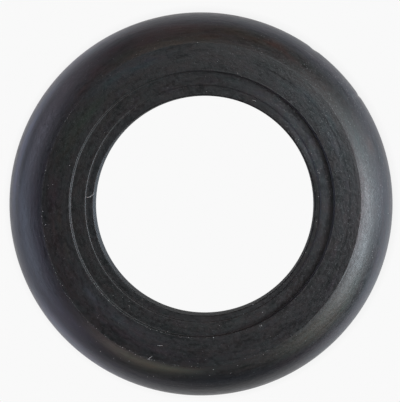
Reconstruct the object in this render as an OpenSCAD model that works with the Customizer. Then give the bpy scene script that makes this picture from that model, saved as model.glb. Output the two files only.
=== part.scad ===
// Open-back rubber grommet for a small round marker light.
// The grommet snaps into a round hole in a sheet panel, which sits in the
// groove between the two flanges, and the lamp body is pushed into the bore.
// It is moulded in one piece and lies on its rear flange, face up.
// Origin: on the bore axis at the rear face. +Z points out of the face.

/* [Face] */
// Outside diameter of the domed front flange
face_d = 33.2; // [32.4:0.1:34.4]
// Height from the rear face to the top of the front face
total_h = 10.2; // [9.8:0.1:11]
// Height of the widest line of the front flange above the rear face
widest_z = 6.5; // [6.3:0.05:6.8]
// Diameter of the crease where the dome meets the land
land_d = 27.66; // [27:0.02:28.4]
// Fall of the land from the edge of the mouth out to the crease
land_fall = 0.15; // [0.02:0.01:0.3]
// Slope at which the dome leaves the crease, in degrees
crease_angle = 18.5; // [10:0.5:24]
// Angle above level at which the dome's two arcs meet, in degrees
arc_join = 40; // [34:1:46]
// Radius of the front flange's edge towards the panel
under_edge_r = 0.9; // [0.3:0.05:0.9]

/* [Stepped mouth] */
// Diameter at the top of the outer step
step1_d = 22.72; // [22.2:0.02:23.6]
// Depth of the outer step
step1_h = 0.4; // [0.2:0.05:0.7]
// Width of the outer step's slanted wall
step1_run = 0.05; // [0.01:0.01:0.4]
// Diameter at the top of the inner step
step2_d = 20.36; // [20.1:0.02:21]
// Depth of the inner step
step2_h = 0.12; // [0.06:0.02:0.4]
// Width of the inner step's slanted wall
step2_run = 0.05; // [0.01:0.01:0.2]
// Drop of the ledge between the steps towards the bore
ledge_fall = 0.02; // [0.01:0.01:0.08]
// Drop of the narrow lip between the inner step and the bore
lip_fall = 0.01; // [0.01:0.01:0.04]

/* [Bore] */
// Diameter of the bore that grips the lamp body
bore_d = 19.05; // [18:0.05:19.2]
// Radius of the bore's edge at the face
bore_edge_r = 0.06; // [0.04:0.01:0.3]
// Radius of the bore's edge at the rear
bore_rear_edge_r = 0.2; // [0.1:0.05:0.4]

/* [Panel groove] */
// Diameter of the panel hole that the neck fills
panel_hole_d = 25.4; // [24:0.1:25.8]
// Width of the groove that the sheet sits in
groove_w = 2.2; // [1.6:0.1:2.4]
// Radius in the two corners at the bottom of the groove
groove_r = 0.35; // [0.1:0.05:0.5]

/* [Rear flange] */
// Diameter of the rear flange
rear_d = 29.2; // [27.4:0.1:30]
// Radius of the rear flange's edge towards the panel
rear_edge_r = 0.45; // [0.1:0.05:0.8]
// Width of the lead-in taper on the rear flange
lead_w = 1.1; // [0.6:0.05:1.6]
// Height of the lead-in taper on the rear flange
lead_h = 1.9; // [1.2:0.1:2.2]

/* [Hidden] */
$fn = 96;
eps = 0.01;

bore_r = bore_d / 2;
face_r = face_d / 2;
neck_r = panel_hole_d / 2;
rear_r = rear_d / 2;
land_r = land_d / 2;
step1_r = step1_d / 2;
step2_r = step2_d / 2;

// The dome is two arcs with one tangent where they meet. The shoulder arc
// stands upright at the widest line, and the crown arc leaves the crease at
// crease_angle. The run and the rise that the two span give both radii.
crease_z = total_h - land_fall;
dome_run = face_r - land_r;
dome_rise = crease_z - widest_z;
join_c = cos(arc_join);
join_s = sin(arc_join);
crown_c = join_c - sin(crease_angle);
crown_s = cos(crease_angle) - join_s;
det = (1 - join_c) * crown_s - crown_c * join_s;
shoulder_r = (dome_run * crown_s - crown_c * dome_rise) / det;
crown_r = ((1 - join_c) * dome_rise - join_s * dome_run) / det;
shoulder_x = face_r - shoulder_r;
crown_x = shoulder_x + (shoulder_r - crown_r) * join_c;
crown_z = widest_z + (shoulder_r - crown_r) * join_s;
join_z = widest_z + shoulder_r * join_s;
body_x = max(shoulder_x, crown_x) + eps;

// Heights of the rear side of the front flange and of the groove
flange_z = widest_z - under_edge_r;
groove_z = flange_z - groove_w;

// Heights of the mouth's levels, from the face down to the bore
step1_z = total_h - step1_h;
step2_top_z = step1_z - ledge_fall;
step2_z = step2_top_z - step2_h;
mouth_z = step2_z - lip_fall;

// What is outside a quarter circle of radius r, in the corner at the origin:
// added, it fills an inside corner, and subtracted, it rounds an outside one
module corner(r) {
    difference() {
        translate([-eps, -eps]) square(r + eps);
        translate([r, r]) circle(r = r);
    }
}

// Rear flange with its lead-in taper
module rear_flange_section() {
    difference() {
        polygon([
            [bore_r, 0],
            [rear_r - lead_w, 0],
            [rear_r, lead_h],
            [rear_r, groove_z],
            [bore_r, groove_z]
        ]);
        translate([rear_r, groove_z]) rotate(180) corner(rear_edge_r);
    }
}

// Neck that fills the panel hole, with a radius in both corners
module neck_section() {
    translate([bore_r, groove_z - eps])
        square([neck_r - bore_r, groove_w + 2 * eps]);
    translate([neck_r, groove_z]) corner(groove_r);
    translate([neck_r, flange_z]) mirror([0, 1]) corner(groove_r);
}

// Front flange: a quarter-round edge below the widest line, the shoulder and
// crown arcs of the dome above it, and the land, which falls to the crease
module front_flange_section() {
    intersection() {
        translate([face_r - under_edge_r, widest_z]) circle(r = under_edge_r);
        translate([face_r - under_edge_r, flange_z]) square(under_edge_r + eps);
    }
    translate([bore_r, flange_z])
        square([face_r - under_edge_r - bore_r + eps, under_edge_r]);
    intersection() {
        translate([shoulder_x, widest_z]) circle(r = shoulder_r);
        translate([shoulder_x, widest_z])
            square([shoulder_r + eps, join_z - widest_z]);
    }
    intersection() {
        translate([crown_x, crown_z]) circle(r = crown_r);
        translate([crown_x, join_z])
            square([crown_r + eps, crease_z - join_z]);
    }
    polygon([
        [bore_r, widest_z - eps],
        [body_x, widest_z - eps],
        [body_x, join_z],
        [land_r, crease_z],
        [step1_r, total_h],
        [bore_r, total_h]
    ]);
}

// Space above the stepped mouth: outer step, ledge, inner step and lip
module mouth_space() {
    polygon([
        [0, total_h + 1],
        [step1_r, total_h + 1],
        [step1_r, total_h],
        [step1_r - step1_run, step1_z],
        [step2_r, step2_top_z],
        [step2_r - step2_run, step2_z],
        [bore_r + bore_edge_r, mouth_z],
        [0, mouth_z]
    ]);
}

// Half of the ring's cross-section, bore wall on the left
module section() {
    difference() {
        union() {
            rear_flange_section();
            neck_section();
            front_flange_section();
        }
        mouth_space();
        translate([bore_r, mouth_z]) mirror([0, 1]) corner(bore_edge_r);
        translate([bore_r, 0]) corner(bore_rear_edge_r);
    }
}

module grommet() {
    color([0.085, 0.09, 0.092])
        rotate_extrude() section();
}

grommet();
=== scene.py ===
import math

import bpy
import numpy as np
from mathutils import Matrix, Vector


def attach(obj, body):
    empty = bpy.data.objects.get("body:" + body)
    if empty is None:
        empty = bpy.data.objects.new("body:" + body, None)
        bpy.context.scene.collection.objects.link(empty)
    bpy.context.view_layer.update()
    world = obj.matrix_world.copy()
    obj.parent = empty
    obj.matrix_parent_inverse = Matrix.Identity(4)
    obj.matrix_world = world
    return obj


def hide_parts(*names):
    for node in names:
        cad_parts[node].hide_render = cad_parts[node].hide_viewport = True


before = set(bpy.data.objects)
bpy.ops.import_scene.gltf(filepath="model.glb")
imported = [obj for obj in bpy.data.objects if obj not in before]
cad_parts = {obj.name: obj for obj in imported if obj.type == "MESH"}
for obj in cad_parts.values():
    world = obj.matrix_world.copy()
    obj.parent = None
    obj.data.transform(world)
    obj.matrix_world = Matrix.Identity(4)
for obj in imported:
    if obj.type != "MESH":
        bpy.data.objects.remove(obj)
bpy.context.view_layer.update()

MM = 0.001
scene = bpy.context.scene

# ---------------------------------------------------------------- section of the ring, in millimetres

BORE = 9.525
FACE = 16.58
WIDEST = 6.5
TOP = 10.2
# The land between the outer step and the crease is slightly crowned: it falls from LAND_IN to LAND
LAND_IN, LAND = 11.46, 13.83
FALL_A, FALL_B = 0.04, 0.108
CREASE_Z = TOP - FALL_A - FALL_B
# The dome is two arcs that meet at ARC_JOIN degrees above level. It leaves the crease at CREASE_ANGLE.
CREASE_ANGLE, ARC_JOIN = 18.5, 40.0
_c, _s = math.cos(math.radians(ARC_JOIN)), math.sin(math.radians(ARC_JOIN))
_a = np.array([[1 - _c, _c - math.sin(math.radians(CREASE_ANGLE))], [_s, math.cos(math.radians(CREASE_ANGLE)) - _s]])
SHOULDER_R, DOME_R = (float(v) for v in np.linalg.solve(_a, [FACE - LAND, CREASE_Z - WIDEST]))
SHOULDER = (FACE - SHOULDER_R, WIDEST)
DOME = (SHOULDER[0] + (SHOULDER_R - DOME_R) * _c, WIDEST + (SHOULDER_R - DOME_R) * _s)
UNDER_R = 0.9
FLANGE = WIDEST - UNDER_R
GROOVE = FLANGE - 2.2

# The corners from the rear of the bore, up its wall and out over the stepped mouth to the land:
# radius, height, radius of the corner, points on the corner, points on the straight after it
MOUTH = [
    (BORE, 0.0, 0.2, 5, 14),
    (BORE, 9.65, 0.06, 4, 7),
    (10.13, 9.66, 0.06, 4, 1),
    (10.18, 9.78, 0.09, 4, 14),
    (11.31, 9.80, 0.08, 5, 3),
    (11.36, TOP, 0.09, 5, 0),
]
CREASE_R = 0.35
# The corners under the front flange, round the panel groove and the rear flange
REAR = [
    (12.7, FLANGE, 0.35, 4, 3),
    (12.7, GROOVE, 0.35, 4, 3),
    (14.6, GROOVE, 0.45, 5, 1),
    (14.6, 1.9, 0.3, 4, 3),
    (13.5, 0.0, 0.15, 3, 7),
]


def arc(cx, cz, r, a0, a1, n):
    angles = [math.radians(a0 + (a1 - a0) * i / n) for i in range(n + 1)]
    return [(cx + r * math.cos(a), cz + r * math.sin(a)) for a in angles]


def corner(p0, p1, p2, r, n):
    """The rounded corner at p1, between the lines to p0 and to p2."""
    p0, p1, p2 = (np.array(p[:2], float) for p in (p0, p1, p2))
    u = (p0 - p1) / np.linalg.norm(p0 - p1)
    v = (p2 - p1) / np.linalg.norm(p2 - p1)
    half = math.acos(max(-1.0, min(1.0, float(u @ v)))) / 2
    c = p1 + (u + v) / np.linalg.norm(u + v) * (r / math.sin(half))
    a = p1 + u * (r / math.tan(half)) - c
    b = p1 + v * (r / math.tan(half)) - c
    a0, a1 = math.atan2(a[1], a[0]), math.atan2(b[1], b[0])
    while a1 - a0 > math.pi:
        a1 -= 2 * math.pi
    while a1 - a0 < -math.pi:
        a1 += 2 * math.pi
    return arc(c[0], c[1], r, math.degrees(a0), math.degrees(a1), n)


def between(p, q, n):
    return [(p[0] + (q[0] - p[0]) * i / (n + 1), p[1] + (q[1] - p[1]) * i / (n + 1)) for i in range(1, n + 1)]


def land_z(r):
    t = (r - LAND_IN) / (LAND - LAND_IN)
    return TOP - FALL_A * t - FALL_B * t * t


def section():
    """The closed section, (radius, height) in order."""
    pts = []
    around = [REAR[-1]] + MOUTH + [(12.0, TOP - 0.012)]
    for i, (r, z, radius, n, after) in enumerate(MOUTH):
        made = corner(around[i], around[i + 1], around[i + 2], radius, n)
        if pts:
            pts += between(pts[-1], made[0], MOUTH[i - 1][4])
        pts += made
    # the crowned land, with close points at the witness line and before the crease
    stops = [(LAND_IN, 12.74, 19), (12.74, 12.90, 6), (12.90, 13.64, 11), (13.64, 13.80, 6)]
    for a, b, n in stops:
        for i in range(1 if a == LAND_IN else 0, n):
            r = a + (b - a) * i / n
            pts.append((r, land_z(r)))
    # the crease, where the land turns into the dome over a small radius
    down = (FALL_A + 2 * FALL_B) / (LAND - LAND_IN)
    turn = math.radians(CREASE_ANGLE)
    made = corner((LAND - 1, CREASE_Z + down), (LAND, CREASE_Z), (LAND + math.cos(turn), CREASE_Z - math.sin(turn)), CREASE_R, 4)
    pts += made
    start = 90 - math.degrees(math.asin((made[-1][0] - DOME[0]) / DOME_R)) - 0.7
    pts += arc(DOME[0], DOME[1], DOME_R, start, ARC_JOIN, 20)
    pts += arc(SHOULDER[0], SHOULDER[1], SHOULDER_R, ARC_JOIN, 0, 20)[1:]
    pts += arc(FACE - UNDER_R, WIDEST, UNDER_R, 0, -90, 8)[1:]
    around = [(FACE - UNDER_R, FLANGE)] + REAR + [MOUTH[0]]
    for i, (r, z, radius, n, after) in enumerate(REAR):
        made = corner(around[i], around[i + 1], around[i + 2], radius, n)
        pts += between(pts[-1], made[0], REAR[i - 1][4] if i else 5) + made
    return pts + between(pts[-1], pts[0], REAR[-1][4])


# ---------------------------------------------------------------- the ring

# As moulded, the mouth is not quite round or centred. Each feature's offset is a short series round the ring:
# (turns, along x, along y) in millimetres. No turns is a change of radius, one is an offset of the whole circle.
OUT_OF_ROUND = {
    "bore_rear": [(0, -0.023, 0), (1, 0.241, -0.096), (2, 0.015, 0.005), (3, -0.003, -0.001), (4, -0.006, 0)],
    "bore_front": [(0, -0.032, 0), (1, 0.294, -0.096), (2, 0.016, 0.004)],
    "step2": [(0, -0.012, 0), (1, 0.21, 0.05), (2, -0.044, 0.036), (3, 0.015, -0.015)],
    "step1": [(0, 0.062, 0), (1, 0.113, 0.04), (2, -0.03, 0.055), (3, 0.031, 0.001)],
    "crease": [(0, 0.03, 0), (1, 0.033, -0.012), (2, -0.092, 0.122), (3, 0.025, 0.018)],
    "rim": [],
}
STATIONS = [(9.7, "bore_front"), (10.13, "step2"), (10.17, "step2"), (11.30, "step1"), (11.40, "step1"), (13.80, "crease"), (13.86, "crease"), (15.6, "rim")]

SIDES = 448
base = np.array(section())
M = len(base)
az = np.arange(SIDES) * (2 * math.pi / SIDES)
rng = np.random.default_rng(7)


def weights(r, z):
    """How much of each feature's offset a point of the section has."""
    if r < 9.7:
        t = min(1.0, max(0.0, z / 9.5))
        return {"bore_rear": 1 - t, "bore_front": t}
    if z < 0.3 and r < 12.5:
        return {"bore_rear": min(1.0, (12.5 - r) / 2.5)}
    if z < 7.0 and r < 15.6 or z < WIDEST:
        return {}
    for (r0, a), (r1, b) in zip(STATIONS, STATIONS[1:]):
        if r <= r1:
            t = (r - r0) / (r1 - r0)
            return {a: 1 - t, b: t} if a != b else {a: 1.0}
    return {}


def smooth(t):
    t = np.clip(t, 0, 1)
    return t * t * (3 - 2 * t)


def around_ring(turns, across, n_across):
    """Smooth random waves, periodic round the ring, for every point of the section: turns knots round, n_across across."""
    knots = rng.uniform(-1, 1, (n_across + 3, turns))
    u = az / (2 * math.pi) * turns
    i = np.floor(u).astype(int)
    f = smooth(u - i)
    rows = knots[:, i % turns] * (1 - f) + knots[:, (i + 1) % turns] * f
    v = np.clip(across, 0, 1) * n_across
    k = np.floor(v).astype(int)
    g = smooth(v - k)[:, None]
    return rows[k] * (1 - g) + rows[k + 1] * g


def near(angle, half):
    """1 at that azimuth, in degrees, fading to 0 at half the width to either side."""
    d = np.abs((np.degrees(az) - angle + 180) % 360 - 180)
    return smooth(1 - d / half)


pos = np.zeros((M, SIDES, 3))
for i, (r, z) in enumerate(base):
    dx = dy = 0.0
    dr = np.zeros(SIDES)
    for name, w in weights(r, z).items():
        for k, a, b in OUT_OF_ROUND[name]:
            if k == 1:
                dx += w * a
                dy += w * b
            elif k == 0:
                dr += w * a
            else:
                dr += w * (a * np.cos(k * az) + b * np.sin(k * az))
    pos[i, :, 0] = (r + dr) * np.cos(az) + dx
    pos[i, :, 1] = (r + dr) * np.sin(az) + dy
    pos[i, :, 2] = z

# Relief in height, in millimetres, on the face of the ring
R, Z = base[:, 0], base[:, 1]
step_along = np.linalg.norm(np.roll(base, -1, 0) - base, axis=1)
along = np.concatenate([[0], np.cumsum(step_along)[:-1]])
lift = np.zeros((M, SIDES))
on_land = ((R > 11.42) & (R < 13.9) & (Z > 9.9)).astype(float)[:, None]
on_ledges = ((R > 9.68) & (R < 11.25) & (Z > 9.6)).astype(float)[:, None]
on_dome = ((R > 13.86) & (Z > WIDEST + 0.4)).astype(float)[:, None]
# the faint witness step on the land, stronger on one side
inside = ((R < 12.90) & (R > 11.42) & (Z > 9.9)).astype(float) * smooth((12.90 - R) / 0.16)
lift -= inside[:, None] * (0.006 + 0.005 * np.cos(az - math.radians(15)))[None, :]
# the fine raised line that the mould left along the crease
line = (0.008 + 0.003 * np.cos(az - math.radians(190)) + 0.006 * near(225, 60) + 0.004 * near(172, 40)) * (1 - 0.95 * near(55, 55))
lift += (np.exp(-((R - 13.785) / 0.04) ** 2) * (Z > 9.9))[:, None] * line[None, :]
# the inner step all but dies out on one side
lift += (smooth((Z - 9.3) / 0.25) * (R < 10.13))[:, None] * (0.09 * near(262, 78) + 0.03 * near(180, 100))[None, :]
# slow waves and streaks that run round the ring
lift += on_land * 0.0022 * around_ring(26, (R - 11.4) / 2.5, 5)
lift += on_land * 0.0011 * around_ring(70, (R - 11.4) / 2.5, 9)
lift += on_ledges * 0.0016 * around_ring(40, (R - 9.6) / 1.7, 4)
lift += on_dome * 0.0030 * around_ring(30, (R - 13.8) / 2.8, 5)
lift += on_dome * 0.0014 * around_ring(80, (R - 13.8) / 2.8, 9)
# short circumferential scuffs on the land and the ledges
for n in range(90):
    a0, half = rng.uniform(0, 360), rng.uniform(2.5, 14)
    r0, w = rng.choice([rng.uniform(11.6, 13.7), rng.uniform(9.8, 11.2)], p=[0.75, 0.25]), rng.uniform(0.05, 0.09)
    h = rng.uniform(0.001, 0.0035) * rng.choice([-1, -1, 1])
    lift += (on_land + on_ledges) * (np.exp(-((R - r0) / w) ** 2)[:, None] * near(a0, half)[None, :] * h)
pos[:, :, 2] += np.minimum(lift, TOP - 0.002 - pos[:, :, 2])

# a shallow nick in the outer edge
edge = ((R > 16.0) & (Z > 5.7)).astype(float)[:, None] * (near(54, 2.0) * 0.06 + near(34.6, 1.1) * 0.06)[None, :]
pos[:, :, 0] -= edge * np.cos(az)
pos[:, :, 1] -= edge * np.sin(az)

i0 = np.arange(M)[:, None]
j0 = np.arange(SIDES)[None, :]
i1, j1 = (i0 + 1) % M, (j0 + 1) % SIDES
quads = np.stack([i0 * SIDES + j0, i1 * SIDES + j0, i1 * SIDES + j1, i0 * SIDES + j1], -1).reshape(-1, 4)

mesh = bpy.data.meshes.new("grommet_ring")
mesh.from_pydata((pos.reshape(-1, 3) * MM).tolist(), [], quads.tolist())
mesh.update()
mesh.polygons.foreach_set("use_smooth", np.ones(len(mesh.polygons), bool))

# One unwrapping: two bands of half a turn each, the azimuth along and the section across
total = float(along[-1] + step_along[-1])
j_all = np.broadcast_to(j0, (M, SIDES)).reshape(-1)
i_all = np.broadcast_to(i0, (M, SIDES)).reshape(-1)
band = (j_all >= SIDES // 2).astype(float)
u_lo = (j_all % (SIDES // 2)) / (SIDES / 2)
u_hi = u_lo + 2 / SIDES
v_lo = along[i_all] / total
v_hi = (along[i_all] + step_along[i_all]) / total
us = np.stack([u_lo, u_lo, u_hi, u_hi], -1)
vs = np.stack([v_lo, v_hi, v_hi, v_lo], -1)
uv = np.stack([0.004 + 0.992 * us, 0.004 + 0.488 * vs + 0.504 * band[:, None]], -1)
mesh.uv_layers.new(name="OFBake").data.foreach_set("uv", uv.reshape(-1))

# Where the rubber is stained, dusty or polished, and where light and shade are painted into its colour: soft spots
# by azimuth and radius, in degrees and millimetres.
# azimuth, half width, radius, half width, colour (a multiplier), change of roughness
STAIN_AND_LIGHT_SPOTS = [
    # dust, and painted light, on the ledge, the lip and the land, mostly on the lit right
    (25, 68, 10.55, 0.8, (2.15, 2.4, 2.55), 0.02),
    (302, 34, 10.65, 0.6, (1.35, 1.3, 1.3), 0.0),
    (275, 30, 10.6, 0.6, (1.12, 1.1, 1.05), 0.0),
    (30, 27, 9.95, 0.35, (2.2, 2.3, 2.4), 0.02),
    (25, 62, 12.5, 1.5, (1.2, 1.35, 1.45), 0.0),
    (120, 34, 13.2, 1.0, (1.1, 1.25, 1.4), 0.0),
    # painted shade in the foot of the outer step, and dark mottles on the land by the bright side
    (325, 95, 11.34, 0.16, (0.3, 0.3, 0.35), 0.0),
    (15, 55, 11.33, 0.17, (0.35, 0.35, 0.4), 0.0),
    (330, 46, 13.2, 0.95, (0.6, 0.66, 0.68), 0.0),
    (322, 9, 13.25, 0.4, (0.5, 0.6, 0.6), 0.05),
    (334, 8, 12.85, 0.35, (0.6, 0.7, 0.65), 0.05),
    (345, 9, 13.4, 0.35, (0.45, 0.5, 0.5), 0.06),
    (306, 10, 13.1, 0.45, (0.6, 0.6, 0.65), 0.04),
    (354, 7, 13.2, 0.3, (0.5, 0.55, 0.6), 0.05),
    (6, 8, 13.45, 0.3, (0.5, 0.55, 0.6), 0.05),
    (17, 6, 13.5, 0.25, (0.6, 0.65, 0.7), 0.04),
    (262, 30, 13.2, 0.9, (0.78, 0.8, 0.85), 0.0),
    # olive, purple and brown on the rest of the land
    (233, 34, 12.1, 0.9, (1.55, 1.6, 1.75), 0.0),
    (150, 30, 12.6, 1.2, (0.9, 1.07, 0.85), 0.0),
    (205, 46, 12.9, 1.1, (1.08, 0.95, 0.98), 0.0),
    (176, 13, 12.7, 0.9, (1.1, 0.88, 1.0), 0.0),
    (240, 11, 12.9, 0.6, (1.12, 0.9, 1.0), 0.0),
    (186, 10, 12.3, 0.4, (1.1, 0.93, 0.8), 0.0),
    # rust, brown and olive on the dome
    (75, 26, 15.0, 1.0, (1.2, 1.05, 0.9), 0.0),
    (65, 6, 15.1, 0.5, (1.6, 1.0, 0.9), 0.0),
    (58, 6, 14.75, 0.4, (1.45, 0.98, 0.92), 0.0),
    (71, 6, 14.8, 0.4, (1.25, 1.0, 0.88), 0.0),
    (79, 7, 15.3, 0.6, (1.2, 1.08, 0.92), 0.0),
    (87, 8, 14.35, 0.35, (1.5, 1.02, 0.88), 0.0),
    (93, 6, 14.9, 0.4, (1.15, 1.0, 0.85), 0.0),
    (98, 6, 15.3, 0.5, (1.15, 0.95, 0.85), 0.0),
    (109, 7, 14.8, 0.6, (1.2, 0.9, 0.95), 0.0),
    (119, 6, 15.3, 0.5, (1.2, 0.88, 0.95), 0.0),
    (102, 30, 14.2, 0.6, (0.65, 0.72, 0.68), 0.0),
    (128, 6, 14.6, 0.45, (1.35, 0.9, 0.95), 0.0),
    (136, 5, 14.2, 0.35, (1.3, 0.92, 0.9), 0.0),
    (133, 6, 15.2, 0.4, (0.85, 0.95, 0.9), 0.0),
    (117, 6, 14.4, 0.35, (0.9, 1.1, 1.0), 0.0),
    (144, 7, 14.5, 0.4, (0.8, 0.75, 0.85), 0.0),
    (126, 10, 13.2, 0.4, (0.95, 1.25, 1.2), 0.0),
    (113, 8, 12.9, 0.4, (0.95, 1.2, 1.25), 0.0),
    (140, 12, 12.4, 0.5, (0.95, 1.15, 1.0), 0.0),
    # painted shade: a dark band on the dome just outside the crease, on the left
    (168, 45, 13.98, 0.16, (0.55, 0.5, 0.6), 0.0),
    (248, 25, 14.5, 0.9, (2.15, 2.1, 1.5), 0.0),
    # painted shade: the dome darker and bluer towards the bottom
    (276, 34, 15.3, 1.0, (0.32, 0.4, 0.55), 0.0),
    (320, 30, 14.8, 1.05, (1.75, 1.8, 1.5), 0.0),
    (192, 42, 14.3, 0.8, (1.4, 1.3, 1.6), 0.0),
    (262, 17, 14.15, 0.5, (2.1, 2.2, 1.9), 0.0),
    (243, 12, 14.15, 0.5, (1.35, 1.45, 1.25), 0.0),
    (240, 16, 15.2, 0.8, (0.72, 0.76, 0.78), 0.0),
    (300, 17, 15.5, 0.7, (0.6, 0.5, 0.6), 0.0),
    (320, 14, 14.75, 0.45, (0.72, 0.66, 0.7), 0.0),
    (22, 20, 12.6, 1.3, (1.15, 1.2, 1.2), 0.0),
    (338, 14, 13.4, 0.5, (0.72, 0.76, 0.76), 0.0),
    # the rim: painted reflection, lighter and bluer all round and most on the left, and painted shade towards the
    # bottom
    (162, 30, 16.05, 0.4, (1.9, 2.0, 2.1), 0.0),
    (220, 22, 16.15, 0.6, (1.8, 1.9, 1.9), 0.0),
    (122, 20, 16.5, 0.5, (1.5, 1.5, 1.5), 0.0),
    (242, 18, 16.5, 0.5, (1.4, 1.35, 1.5), 0.0),
    (275, 26, 16.0, 0.7, (0.6, 0.58, 0.7), 0.0),
    (170, 400, 16.3, 1.25, (1.65, 1.75, 2.45), 0.0),
    (280, 42, 16.0, 0.8, (0.55, 0.55, 0.45), 0.0),
    (134, 34, 16.4, 0.9, (2.3, 2.25, 2.1), 0.0),
    (227, 28, 16.4, 0.9, (2.3, 2.2, 2.1), 0.0),
    (232, 26, 14.9, 0.75, (0.7, 0.72, 0.75), 0.0),
    (170, 45, 16.05, 0.45, (1.4, 1.45, 1.5), 0.0),
    # soft smears on the lower left of the land, and teal and purple on its right
    (219, 7, 12.2, 0.35, (1.3, 1.3, 1.45), 0.03),
    (229, 6, 12.9, 0.3, (1.3, 1.25, 1.4), 0.03),
    (236, 9, 12.5, 0.3, (0.8, 0.85, 0.8), 0.0),
    (212, 8, 13.3, 0.3, (0.85, 0.8, 0.8), 0.0),
    (190, 12, 12.9, 0.45, (1.2, 1.0, 0.95), 0.0),
    (168, 9, 12.3, 0.4, (0.85, 0.9, 0.9), 0.0),
    (199, 8, 12.2, 0.35, (1.15, 1.2, 1.1), 0.0),
    (183, 7, 13.5, 0.3, (0.8, 0.75, 0.8), 0.0),
    (254, 12, 12.9, 0.35, (1.2, 1.02, 1.15), 0.02),
    (46, 8, 12.9, 0.45, (1.15, 1.45, 1.5), 0.03),
    (33, 7, 13.2, 0.4, (1.1, 1.35, 1.4), 0.03),
    (54, 7, 12.3, 0.35, (0.8, 0.9, 0.9), 0.0),
    (24, 7, 12.4, 0.35, (1.2, 1.15, 1.25), 0.03),
    (358, 9, 12.4, 0.35, (1.15, 1.05, 1.1), 0.0),
    (339, 8, 12.2, 0.35, (1.2, 1.0, 1.1), 0.0),
    (328, 9, 13.3, 0.35, (1.3, 0.95, 1.15), 0.0),
    # painted reflection on the rim at the lower right
    (338, 44, 16.4, 0.9, (1.8, 1.9, 1.8), 0.0),
    (19, 5, 15.45, 0.45, (1.9, 1.35, 1.15), 0.0),
    (175, 85, 9.8, 0.4, (0.72, 0.82, 0.88), 0.0),
]
stain_and_painted_light = np.ones((M, SIDES, 3))
dull = np.zeros((M, SIDES))
upper = (Z > WIDEST - 0.5).astype(float)
for a0, half, r0, w, colour, rough in STAIN_AND_LIGHT_SPOTS:
    m = near(a0, half)[None, :] * (smooth(1 - np.abs(R - r0) / w) * upper)[:, None]
    stain_and_painted_light *= 1 + m[:, :, None] * (np.array(colour) - 1)
    dull += m * rough
# painted light: the bore's wall is palest where it faces the light, and darker round the rest
stain_and_painted_light[R < 9.6] *= (0.15 + 0.85 * near(180, 62))[None, :, None]
attr = mesh.attributes.new("stain_and_painted_light", "FLOAT_COLOR", "POINT")
attr.data.foreach_set("color", np.concatenate([stain_and_painted_light, np.ones((M, SIDES, 1))], -1).reshape(-1))
attr = mesh.attributes.new("dull", "FLOAT", "POINT")
attr.data.foreach_set("value", dull.reshape(-1))
# the grain is strongest on the land and the ledges
inner = (((R > 9.6) & (Z > 9.3)) * smooth((13.9 - R) / 0.3))[:, None]
grained = 1.0 + inner * (0.15 + 0.4 * near(0, 80))[None, :] + (1 - inner) * 0.3 * near(100, 80)[None, :]
attr = mesh.attributes.new("grained", "FLOAT", "POINT")
attr.data.foreach_set("value", grained.reshape(-1))
attr = mesh.attributes.new("dusty", "FLOAT", "POINT")
attr.data.foreach_set("value", np.tile(0.3 + 0.7 * near(15, 95) + 0.6 * near(36, 30), M))

ring = bpy.data.objects.new("grommet_ring", mesh)
scene.collection.objects.link(ring)
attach(ring, "root")
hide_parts("grommet")

# ---------------------------------------------------------------- materials


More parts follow.
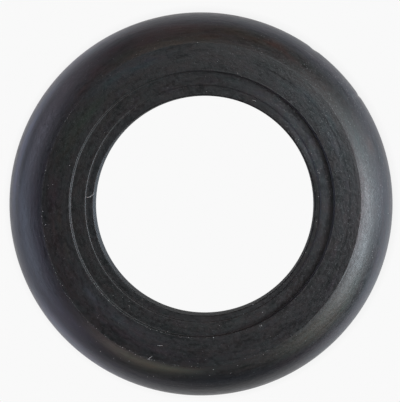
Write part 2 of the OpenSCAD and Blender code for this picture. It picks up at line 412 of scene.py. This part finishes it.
class Tree:
    """A few short words for building a material."""

    def __init__(self, name):
        self.material = bpy.data.materials.new(name)
        self.material.use_nodes = True
        self.nodes = self.material.node_tree.nodes
        self.links = self.material.node_tree.links
        self.bsdf = self.nodes["Principled BSDF"]

    def put(self, socket, v):
        if isinstance(v, bpy.types.NodeSocket):
            self.links.new(v, socket)
        elif isinstance(v, (tuple, list)) and len(v) == 3 and socket.type == "RGBA":
            socket.default_value = (*v, 1)
        else:
            socket.default_value = v

    def math(self, op, a, b=0.0, c=0.0, clamp=False):
        n = self.nodes.new("ShaderNodeMath")
        n.operation = op
        n.use_clamp = clamp
        for s, v in zip(n.inputs, (a, b, c)):
            self.put(s, v)
        return n.outputs[0]

    def vector(self, op, *args):
        n = self.nodes.new("ShaderNodeVectorMath")
        n.operation = op
        for s, v in zip(n.inputs, args):
            self.put(s, v)
        return n.outputs["Value"] if op == "LENGTH" else n.outputs["Vector"]

    def mix(self, fac, a, b, blend="MIX"):
        n = self.nodes.new("ShaderNodeMix")
        n.data_type = "RGBA"
        n.blend_type = blend
        self.put(n.inputs[0], fac)
        self.put(n.inputs[6], a)
        self.put(n.inputs[7], b)
        return n.outputs[2]

    def ramp(self, fac, *stops, mode="EASE"):
        n = self.nodes.new("ShaderNodeValToRGB")
        n.color_ramp.interpolation = mode
        e = n.color_ramp.elements
        while len(e) > 1:
            e.remove(e[-1])
        for k, (p, c) in enumerate(stops):
            s = e[0] if k == 0 else e.new(p)
            s.position = p
            s.color = (*c, 1) if isinstance(c, tuple) else (c, c, c, 1)
        self.put(n.inputs[0], fac)
        return n.outputs["Color"]

    def noise(self, vector, detail=2.0, rough=0.5):
        n = self.nodes.new("ShaderNodeTexNoise")
        n.noise_dimensions = "3D"
        n.inputs["Scale"].default_value = 1.0
        n.inputs["Detail"].default_value = detail
        n.inputs["Roughness"].default_value = rough
        self.put(n.inputs["Vector"], vector)
        return n.outputs[0]

    def attribute(self, name, out):
        n = self.nodes.new("ShaderNodeAttribute")
        n.attribute_type = "GEOMETRY"
        n.attribute_name = name
        return n.outputs[out]

    def place(self):
        """The place on the ring: a unit vector by azimuth, and how far out and down along the section."""
        self.object = self.nodes.new("ShaderNodeTexCoord").outputs["Object"]
        flat = self.vector("MULTIPLY", self.object, (1, 1, 0))
        self.unit = self.vector("NORMALIZE", flat)
        n = self.nodes.new("ShaderNodeSeparateXYZ")
        self.put(n.inputs[0], self.object)
        self.across = self.math("SUBTRACT", self.vector("LENGTH", flat), n.outputs["Z"])

    def ring_coords(self, length_round, length_across, seed=0.0):
        """Coordinates for noise whose grains are that long round the ring and across it, in millimetres."""
        n = self.nodes.new("ShaderNodeCombineXYZ")
        self.put(n.inputs["Z"], self.math("MULTIPLY_ADD", self.across, 1000 / length_across, seed))
        a = 13.0 / length_round
        return self.vector("MULTIPLY_ADD", self.unit, (a, a, a), n.outputs[0])

    def grains(self, size, seed=0.0):
        k = 1000 / size
        return self.vector("MULTIPLY_ADD", self.object, (k, k, k), (seed, seed, seed))

    def bump(self, height, amount):
        """Height is a noise about 0.5, amount is its size in millimetres."""
        n = self.nodes.new("ShaderNodeBump")
        n.inputs["Strength"].default_value = 1.0
        n.inputs["Distance"].default_value = amount * MM
        self.put(n.inputs["Height"], height)
        self.put(self.bsdf.inputs["Normal"], n.outputs[0])


def satin_rubber():
    """Satin black rubber: grained and scuffed round the ring, with faint stains, a breath of dust, and light and
    shade painted into its colour from the spot table.
    """
    t = Tree("black_rubber")
    t.place()
    streak = t.noise(t.ring_coords(2.4, 0.34, 3.0), 2.0)
    fine = t.noise(t.ring_coords(0.44, 0.26, 11.0), 2.0, 0.6)
    brushed = t.noise(t.ring_coords(1.5, 0.28, 83.0), 2.0)
    grain = t.noise(t.grains(0.22, 5.0), 1.0)
    mottle = t.noise(t.ring_coords(2.4, 0.9, 21.0), 2.0)
    mottle2 = t.noise(t.ring_coords(0.8, 0.4, 37.0), 2.0)
    patch = t.noise(t.ring_coords(4.5, 1.6, 51.0), 1.0)

    hue = t.ramp(mottle, (0.30, (0.0170, 0.0216, 0.0212)), (0.42, (0.0190, 0.0200, 0.0197)), (0.5, (0.0187, 0.0193, 0.0200)),
                 (0.60, (0.0216, 0.0190, 0.0180)), (0.72, (0.0210, 0.0186, 0.0213)))
    hue2 = t.ramp(mottle2, (0.32, (0.0162, 0.0212, 0.0206)), (0.5, (0.0190, 0.0195, 0.0196)), (0.68, (0.0220, 0.0188, 0.0192)))
    colour = t.mix(0.45, hue, hue2)
    # light and dark: streaks, grain
    level = t.math("MULTIPLY_ADD", streak, 0.7, 0.65)
    strong = t.attribute("grained", "Fac")
    depth = t.math("MULTIPLY_ADD", brushed, 1.1, t.math("MULTIPLY_ADD", fine, 1.3, -1.2))
    depth = t.math("MULTIPLY", depth, strong)
    level = t.math("MULTIPLY", level, t.math("MAXIMUM", t.math("ADD", depth, 1.0), 0.75))
    level = t.math("MULTIPLY", level, t.math("MULTIPLY_ADD", patch, 1.0, 0.5))
    level = t.math("MULTIPLY", level, t.math("MULTIPLY_ADD", mottle, 0.6, 0.7))
    colour = t.mix(1.0, colour, t.ramp(level, (0.0, 0.0), (1.0, 0.5), mode="LINEAR"), "MULTIPLY")
    # stains, and light and shade painted into the colour, from the spot table
    colour = t.mix(1.0, colour, t.attribute("stain_and_painted_light", "Color"), "MULTIPLY")
    # the ramp above halves the level, so that it may run past 1
    colour = t.vector("SCALE", colour)
    t.nodes[-1].inputs["Scale"].default_value = 1.86
    # fine dust lies in the grain
    specks = t.noise(t.grains(0.12, 17.0), 1.0)
    cover = t.noise(t.ring_coords(4.0, 1.5, 71.0), 2.0)
    film = t.math("MULTIPLY", t.ramp(specks, (0.60, 0.0), (0.76, 1.0)), t.ramp(cover, (0.35, 0.15), (0.65, 0.6)))
    film = t.math("MULTIPLY", film, t.attribute("dusty", "Fac"))
    colour = t.mix(film, colour, (0.13, 0.135, 0.135))
    t.put(t.bsdf.inputs["Base Color"], colour)

    rough = t.math("MULTIPLY_ADD", streak, 0.12, ROUGH - 0.06)
    rough = t.math("MULTIPLY_ADD", fine, 0.32, t.math("SUBTRACT", rough, 0.16))
    rough = t.math("ADD", rough, t.math("MULTIPLY_ADD", patch, 0.06, -0.03))
    rough = t.math("ADD", rough, t.attribute("dull", "Fac"), clamp=True)
    t.put(t.bsdf.inputs["Roughness"], rough)

    height = t.math("MULTIPLY", streak, 0.8)
    height = t.math("MULTIPLY_ADD", fine, 2.3, height)
    height = t.math("MULTIPLY_ADD", brushed, 1.3, height)
    height = t.math("MULTIPLY", t.math("MULTIPLY_ADD", grain, 0.9, height), strong)
    t.bump(height, BUMP)
    return t.material


def bore_rubber():
    """The bore's wall: duller, with fine lines along the bore's turns."""
    t = Tree("black_rubber_bore")
    t.place()
    lines = t.noise(t.ring_coords(6.0, 0.25, 91.0), 2.0)
    grain = t.noise(t.grains(0.3, 9.0), 2.0)
    level = t.math("MULTIPLY_ADD", lines, 0.9, t.math("MULTIPLY_ADD", grain, 0.5, 0.3))
    # painted light: the pale bluish base colour stands in for the cool light the wall catches, and the attribute
    # below adds the painted light where it faces the light
    colour = t.mix(1.0, (0.048, 0.059, 0.070), t.ramp(level, (0.0, 0.0), (1.0, 1.0), mode="LINEAR"), "MULTIPLY")
    colour = t.mix(1.0, colour, t.attribute("stain_and_painted_light", "Color"), "MULTIPLY")
    t.put(t.bsdf.inputs["Base Color"], colour)
    t.put(t.bsdf.inputs["Roughness"], t.math("MULTIPLY_ADD", grain, 0.2, 0.7))
    t.bsdf.inputs["Specular IOR Level"].default_value = 0.15
    t.bump(t.math("ADD", lines, grain), 0.003)
    return t.material


def pale_dust(name, colour):
    t = Tree(name)
    t.place()
    v = t.noise(t.grains(0.3, 2.0), 2.0)
    t.put(t.bsdf.inputs["Base Color"], t.mix(v, tuple(c * 0.6 for c in colour), colour))
    t.put(t.bsdf.inputs["Roughness"], t.math("MULTIPLY_ADD", v, 0.2, 0.75))
    t.bsdf.inputs["Specular IOR Level"].default_value = 0.3
    t.bump(v, 0.004)
    return t.material


ROUGH = 0.41
BUMP = 0.006
mesh.materials.append(satin_rubber())
mesh.materials.append(bore_rubber())
wall = (base[:, 0] < BORE + 0.02) & (np.roll(base[:, 0], -1) < BORE + 0.02)
mesh.polygons.foreach_set("material_index", np.repeat(wall, SIDES).astype(np.int32))

# ---------------------------------------------------------------- dust and lint on the face

upper_rows = np.where((Z > WIDEST) & (R > 9.55))[0]
face_pts = pos[upper_rows].reshape(-1, 3)
d_round = np.roll(pos, -1, 1) - np.roll(pos, 1, 1)
d_along = np.roll(pos, -1, 0) - np.roll(pos, 1, 0)
normals = np.cross(d_along, d_round)
normals /= np.linalg.norm(normals, axis=2)[:, :, None]
if normals[upper_rows[len(upper_rows) // 2], 0, 2] < 0:
    normals = -normals
face_nrm = normals[upper_rows].reshape(-1, 3)


def on_face(x, y):
    """The point of the face over x, y and the normal there."""
    k = int(np.argmin((face_pts[:, 0] - x) ** 2 + (face_pts[:, 1] - y) ** 2))
    p, n = face_pts[k], face_nrm[k]
    z = p[2] - (n[0] * (x - p[0]) + n[1] * (y - p[1])) / max(n[2], 0.3)
    return np.array([x, y, z]), n


def polar(azimuth, radius):
    return radius * math.cos(math.radians(azimuth)), radius * math.sin(math.radians(azimuth))


phi = (1 + 5 ** 0.5) / 2
ICO = np.array([(-1, phi, 0), (1, phi, 0), (-1, -phi, 0), (1, -phi, 0), (0, -1, phi), (0, 1, phi), (0, -1, -phi), (0, 1, -phi),
                (phi, 0, -1), (phi, 0, 1), (-phi, 0, -1), (-phi, 0, 1)]) / math.hypot(1, phi)
ICO_FACES = [(0, 11, 5), (0, 5, 1), (0, 1, 7), (0, 7, 10), (0, 10, 11), (1, 5, 9), (5, 11, 4), (11, 10, 2), (10, 7, 6), (7, 1, 8),
             (3, 9, 4), (3, 4, 2), (3, 2, 6), (3, 6, 8), (3, 8, 9), (4, 9, 5), (2, 4, 11), (6, 2, 10), (8, 6, 7), (9, 8, 1)]
DUST_TOP = TOP - 0.001


def grain_at(verts, faces, azimuth, radius, size, flat=0.5):
    """A small rough grain half sunk in the face."""
    p, n = on_face(*polar(azimuth, radius))
    t = np.cross(n, (0, 0, 1.0))
    t = t / np.linalg.norm(t) if np.linalg.norm(t) > 1e-3 else np.array([1.0, 0, 0])
    b = np.cross(n, t)
    turn = rng.uniform(0, math.pi)
    t, b = t * math.cos(turn) + b * math.sin(turn), b * math.cos(turn) - t * math.sin(turn)
    v = ICO * rng.uniform(0.75, 1.15, (12, 1)) * (size / 2)
    q = p + v[:, :1] * t * rng.uniform(1.0, 1.35) + v[:, 1:2] * b * rng.uniform(0.7, 1.0) + v[:, 2:] * n * flat
    q[:, 2] = np.minimum(q[:, 2], DUST_TOP)
    faces.extend([tuple(len(verts) + k for k in f) for f in ICO_FACES])
    verts.extend(q.tolist())


def strand(verts, faces, points, size, sides=6):
    """A thin closed fibre through those points, in millimetres."""
    p = np.array(points, float)
    # round off the corners
    for _ in range(2):
        q = [p[0]]
        for a, b in zip(p, p[1:]):
            q += [a * 0.75 + b * 0.25, a * 0.25 + b * 0.75]
        p = np.array(q + [p[-1]])
    start = len(verts)
    n_rings = len(p)
    for k in range(n_rings):
        d = p[min(k + 1, n_rings - 1)] - p[max(k - 1, 0)]
        d /= np.linalg.norm(d)
        side = np.cross(d, (0, 0, 1.0))
        side /= np.linalg.norm(side)
        up = np.cross(side, d)
        w = size / 2 * (1 - 0.55 * abs(2 * k / (n_rings - 1) - 1) ** 3)
        for m in range(sides):
            a = 2 * math.pi * m / sides
            c = p[k] + (side * math.cos(a) + up * math.sin(a)) * w
            verts.append([c[0], c[1], min(c[2], DUST_TOP)])
    for k in range(n_rings - 1):
        for m in range(sides):
            m1 = (m + 1) % sides
            a = start + k * sides
            faces.append((a + m, a + m1, a + sides + m1, a + sides + m))
    faces.append(tuple(start + m for m in reversed(range(sides))))
    faces.append(tuple(start + (n_rings - 1) * sides + m for m in range(sides)))


def loose_piece(name, verts, faces, material):
    me = bpy.data.meshes.new(name)
    me.from_pydata((np.array(verts) * MM).tolist(), [], faces)
    me.update()
    me.polygons.foreach_set("use_smooth", np.ones(len(me.polygons), bool))
    me.materials.append(material)
    o = bpy.data.objects.new(name, me)
    scene.collection.objects.link(o)
    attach(o, "root")
    return o


# The grains that show singly: azimuth, radius, size
GRAINS = [
    (163.4, 11.73, 0.10), (172.9, 13.20, 0.08), (172.3, 12.82, 0.06), (167.6, 13.63, 0.07), (168.8, 13.66, 0.06),
    (182.5, 13.58, 0.10), (184.3, 13.69, 0.10), (187.4, 13.42, 0.10), (216.7, 11.35, 0.08), (218.6, 11.32, 0.09),
    (226.3, 11.42, 0.13), (235.8, 15.32, 0.09), (240.6, 15.24, 0.10), (245.5, 14.81, 0.08), (239.2, 11.40, 0.11),
    (246.6, 14.05, 0.08), (238.5, 9.62, 0.08), (252.9, 15.56, 0.08), (251.8, 14.03, 0.10), (254.7, 15.37, 0.08),
    (248.2, 11.56, 0.09), (250.8, 11.46, 0.08), (255.5, 11.29, 0.09), (264.9, 11.47, 0.08), (266.9, 13.95, 0.08),
    (91.0, 13.92, 0.07), (86.9, 9.72, 0.08), (273.0, 14.74, 0.07), (275.6, 11.48, 0.10), (274.5, 14.23, 0.11),
    (83.2, 12.37, 0.07), (278.9, 10.54, 0.08), (280.1, 14.77, 0.07), (283.0, 14.21, 0.08), (74.2, 11.70, 0.08),
    (72.2, 11.55, 0.08), (297.7, 9.72, 0.08), (68.1, 14.08, 0.07), (296.8, 11.65, 0.11), (296.1, 11.62, 0.09),
    (299.9, 10.71, 0.10), (292.8, 13.99, 0.09), (33.5, 10.11, 0.11), (335.4, 9.94, 0.08), (26.1, 10.15, 0.08),
    (24.6, 10.50, 0.10), (351.6, 10.09, 0.08), (16.2, 10.48, 0.07), (3.8, 10.17, 0.09), (357.1, 13.78, 0.07),
    (348.4, 14.58, 0.08), (344.7, 15.35, 0.09), (342.8, 15.50, 0.12), (5.4, 16.19, 0.13), (357.2, 16.18, 0.14),
    (35.0, 16.40, 0.09), (210.4, 13.75, 0.07), (230.0, 13.91, 0.09), (234.3, 13.98, 0.09), (241.4, 14.00, 0.09),
    (244.1, 13.95, 0.08), (234.7, 10.64, 0.07), (235.2, 10.74, 0.07),
]
verts, faces = [], []
for azimuth, radius, size in GRAINS:
    grain_at(verts, faces, azimuth, radius, size)
# a thin scatter of smaller grains, and beads of pale dust along the crease and the outer step, set thickest on the
# lower left so that they also paint those edges' highlight
for n in range(190):
    grain_at(verts, faces, rng.uniform(0, 360), rng.uniform(9.8, 15.9), rng.uniform(0.025, 0.055))
crease_r = np.hypot(pos[:, :, 0], pos[:, :, 1])[int(np.argmin(np.abs(R - 13.80) + (Z < 9.9) * 9))]
step_r = np.hypot(pos[:, :, 0], pos[:, :, 1])[int(np.argmin(np.abs(R - 11.42) + (Z < 9.9) * 9))]
for line, a0, a1, count in ((crease_r, 203, 264, 38), (crease_r, 140, 203, 12), (crease_r, 264, 330, 8), (step_r, 214, 272, 40), (step_r, 150, 214, 5), (step_r, 264, 300, 9)):
    for n in range(count):
        a = rng.uniform(a0, a1)
        grain_at(verts, faces, a, float(line[int(a / 360 * SIDES) % SIDES]) + rng.normal(0, 0.035), rng.uniform(0.03, 0.065))
dust_and_edge_highlight = loose_piece("dust_grains_and_edge_highlight", verts, faces, pale_dust("pale_dust", (0.28, 0.28, 0.27)))


def lie(points, lift_by=0.008):
    """Points on the face, by azimuth and radius, lifted a little."""
    return [on_face(*polar(a, r))[0] + (0, 0, lift_by) for a, r in points]


verts, faces = [], []
strand(verts, faces, [(-9.88, 0.65, 9.70), (-9.70, 0.60, 9.73), (-9.50, 0.655, 9.742), (-9.32, 0.79, 9.735), (-9.15, 0.97, 9.72)], 0.046)
strand(verts, faces, lie([(253.0, 12.66), (254.0, 12.62), (255.1, 12.56)]), 0.03)
strand(verts, faces, lie([(251.2, 14.08), (251.6, 13.94), (252.3, 13.72)]), 0.036)
strand(verts, faces, lie([(61.6, 10.05), (62.4, 10.08), (63.6, 10.02)]), 0.028)
strand(verts, faces, lie([(16.3, 10.3), (15.2, 10.45), (14.6, 10.62)]), 0.022)
lint = loose_piece("lint", verts, faces, pale_dust("pale_lint", (0.55, 0.56, 0.55)))

# ---------------------------------------------------------------- floor

FLOOR_GLOW = 0.947
NEAR = 60 * MM  # beyond this the floor only shows: it adds nothing to what the part reflects


def floor_piece(name, rings, material):
    """A flat ring-shaped piece of floor through those radii, in metres."""
    sides = 96
    vs = [(r * math.cos(2 * math.pi * k / sides), r * math.sin(2 * math.pi * k / sides), 0) for r in rings for k in range(sides)]
    fs = [tuple(range(sides))] if rings[0] < MM else []
    for n in range(len(rings) - 1):
        for k in range(sides):
            k1 = (k + 1) % sides
            fs.append((n * sides + k, (n + 1) * sides + k, (n + 1) * sides + k1, n * sides + k1))
    me = bpy.data.meshes.new(name)
    me.from_pydata(vs, [], fs)
    me.materials.append(material)
    o = bpy.data.objects.new(name, me)
    o.location = (0, 0, -0.02 * MM)
    scene.collection.objects.link(o)
    return o


pale = bpy.data.materials.new("floor_pale")
pale.use_nodes = True
nodes, links = pale.node_tree.nodes, pale.node_tree.links
nodes.clear()
out = nodes.new("ShaderNodeOutputMaterial")
glow = nodes.new("ShaderNodeEmission")
links.new(glow.outputs[0], out.inputs["Surface"])
# a soft shadow painted into the floor's glow where the rear flange stands, all of it under the overhang of the face
coords = nodes.new("ShaderNodeTexCoord")
span = nodes.new("ShaderNodeVectorMath")
span.operation = "LENGTH"
links.new(coords.outputs["Object"], span.inputs[0])
ramp = nodes.new("ShaderNodeValToRGB")
scaled = nodes.new("ShaderNodeMath")
scaled.operation = "DIVIDE"
links.new(span.outputs["Value"], scaled.inputs[0])
scaled.inputs[1].default_value = 20 * MM
links.new(scaled.outputs[0], ramp.inputs["Fac"])
stops = ramp.color_ramp.elements
while len(stops) > 1:
    stops.remove(stops[-1])
for n, (r, v) in enumerate([(9.95, 1.0), (10.7, 0.7), (13.4, 0.1), (14.2, 0.12), (15.4, 0.55), (16.6, 0.93), (17.4, 1.0)]):
    e = stops[0] if n == 0 else stops.new(r / 20)
    e.position = r / 20
    e.color = (v * FLOOR_GLOW, v * FLOOR_GLOW, v * FLOOR_GLOW, 1)
links.new(ramp.outputs["Color"], glow.inputs["Color"])
floor = floor_piece("floor", [0.0005, 0.01, 0.02, NEAR], pale)
floor_far = floor_piece("floor_far", [NEAR, 0.5, 6.0], pale)
floor_far.visible_glossy = False
floor_far.visible_diffuse = False

# ---------------------------------------------------------------- light

world = bpy.data.worlds.new("studio")
scene.world = world
world.use_nodes = True
world.node_tree.nodes["Background"].inputs["Color"].default_value = (0.78, 0.79, 0.8, 1)
world.cycles_visibility.glossy = False
world.cycles_visibility.diffuse = False

LIGHT_DISTANCE = 0.14
LIGHT_SIZE = 2 * LIGHT_DISTANCE * math.tan(math.radians(11))


def soft_light(azimuth, zenith, radiance):
    """A round soft light of that radiance (red, green, blue), facing the part."""
    data = bpy.data.lights.new("soft_%d_%d" % (azimuth, zenith), "AREA")
    data.shape = "DISK"
    data.size = LIGHT_SIZE
    top = max(radiance)
    data.energy = top * math.pi * math.pi * LIGHT_SIZE * LIGHT_SIZE / 4
    data.color = [c / top for c in radiance]
    o = bpy.data.objects.new(data.name, data)
    a, z = math.radians(azimuth), math.radians(zenith)
    d = Vector((math.sin(z) * math.cos(a), math.sin(z) * math.sin(a), math.cos(z)))
    o.location = d * LIGHT_DISTANCE + Vector((0, 0, 8 * MM))
    o.rotation_mode = "QUATERNION"
    o.rotation_quaternion = d.to_track_quat("Z", "Y")
    o.visible_camera = False
    scene.collection.objects.link(o)


# A long soft key on the right, from overhead down to the floor, and a low cool fill all along the left
for light in [
    (340, 57, (9.3, 11.0, 12.1)),
    (0, 57, (9.4, 10.3, 11.0)),
    (20, 57, (2.2, 3.5, 3.6)),
    (320, 57, (2.4, 1.9, 1.5)),
    (303, 57, (0.25, 0.25, 0.15)),
    (40, 57, (1.9, 1.4, 1.3)),
    (0, 44, (4.2, 2.3, 2.7)),
    (45, 30, (4.2, 4.6, 4.7)),
    (0, 83, (3.8, 4.2, 5.0)),
    (20, 83, (3.1, 3.2, 3.5)),
    (103, 44, (2.1, 1.6, 1.3)),
    (100, 83, (1.0, 0.6, 0.65)),
    (140, 83, (1.9, 1.65, 2.0)),
    (160, 70, (3.0, 3.0, 3.8)),
    (180, 83, (2.0, 2.35, 3.2)),
    (200, 83, (2.2, 2.5, 3.2)),
    (192, 70, (1.2, 1.25, 1.6)),
    (220, 83, (1.4, 1.3, 1.9)),
    (240, 57, (2.7, 2.2, 2.2)),
]:
    soft_light(*light)

# ---------------------------------------------------------------- camera

DIST = 0.516
TILT, TILT_AZ = math.radians(1.04), math.radians(42)
SCALE = 11.556
cam_data = bpy.data.cameras.new("camera")
cam = bpy.data.objects.new("camera", cam_data)
scene.collection.objects.link(cam)
scene.camera = cam
cam_data.sensor_width = 36.0
cam_data.lens = SCALE * 36.0 * (DIST * 1000) / 402.0
aim = Vector((-0.083 * MM, 0.255 * MM, WIDEST * MM))
back = Vector((math.sin(TILT) * math.cos(TILT_AZ), math.sin(TILT) * math.sin(TILT_AZ), math.cos(TILT)))
cam.location = aim + back * DIST
right = Vector((0, 1, 0)).cross(back).normalized()
cam.rotation_mode = "QUATERNION"
cam.rotation_quaternion = Matrix((right, back.cross(right), back)).transposed().to_quaternion()
cam_data.clip_start, cam_data.clip_end = 0.01, 20.0
scene.view_settings.view_transform = "Standard"
